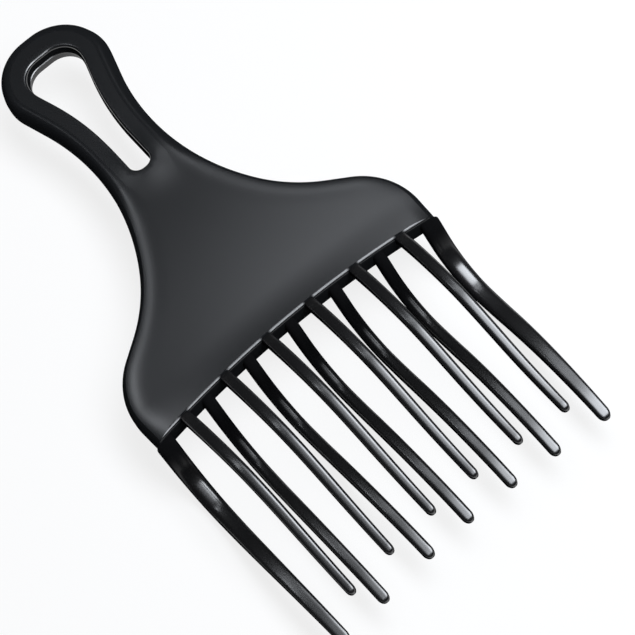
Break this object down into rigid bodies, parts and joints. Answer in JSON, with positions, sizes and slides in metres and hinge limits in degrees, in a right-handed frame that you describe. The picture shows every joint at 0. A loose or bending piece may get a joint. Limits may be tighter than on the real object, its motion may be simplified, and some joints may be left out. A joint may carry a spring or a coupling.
{
  "type": "hair pick",
  "caption": "Black plastic lift pick with two interleaved rows of long bowed teeth, a broad shield-shaped blade and a handle with a teardrop finger slot.",
  "frame": {"origin": "on the flat back face of the blade and the pick's centre line, level with the blade's widest part", "axes": "+X across the teeth, +Y from the teeth towards the handle, +Z out of the front face"},
  "size_m": [0.085, 0.1742, 0.0251],
  "materials": {
    "body_plastic": "satin black",
    "tooth_plastic": "glossy black"
  },
  "bodies": {
    "root": {"blade": "body_plastic", "handle_loop": "body_plastic", "front_tooth_1": "tooth_plastic", "front_tooth_2": "tooth_plastic", "front_tooth_3": "tooth_plastic", "front_tooth_4": "tooth_plastic", "front_tooth_5": "tooth_plastic", "front_tooth_6": "tooth_plastic", "back_tooth_1": "tooth_plastic", "back_tooth_2": "tooth_plastic", "back_tooth_3": "tooth_plastic", "back_tooth_4": "tooth_plastic", "back_tooth_5": "tooth_plastic", "back_tooth_6": "tooth_plastic", "back_tooth_7": "tooth_plastic"}
  },
  "joints": []
}
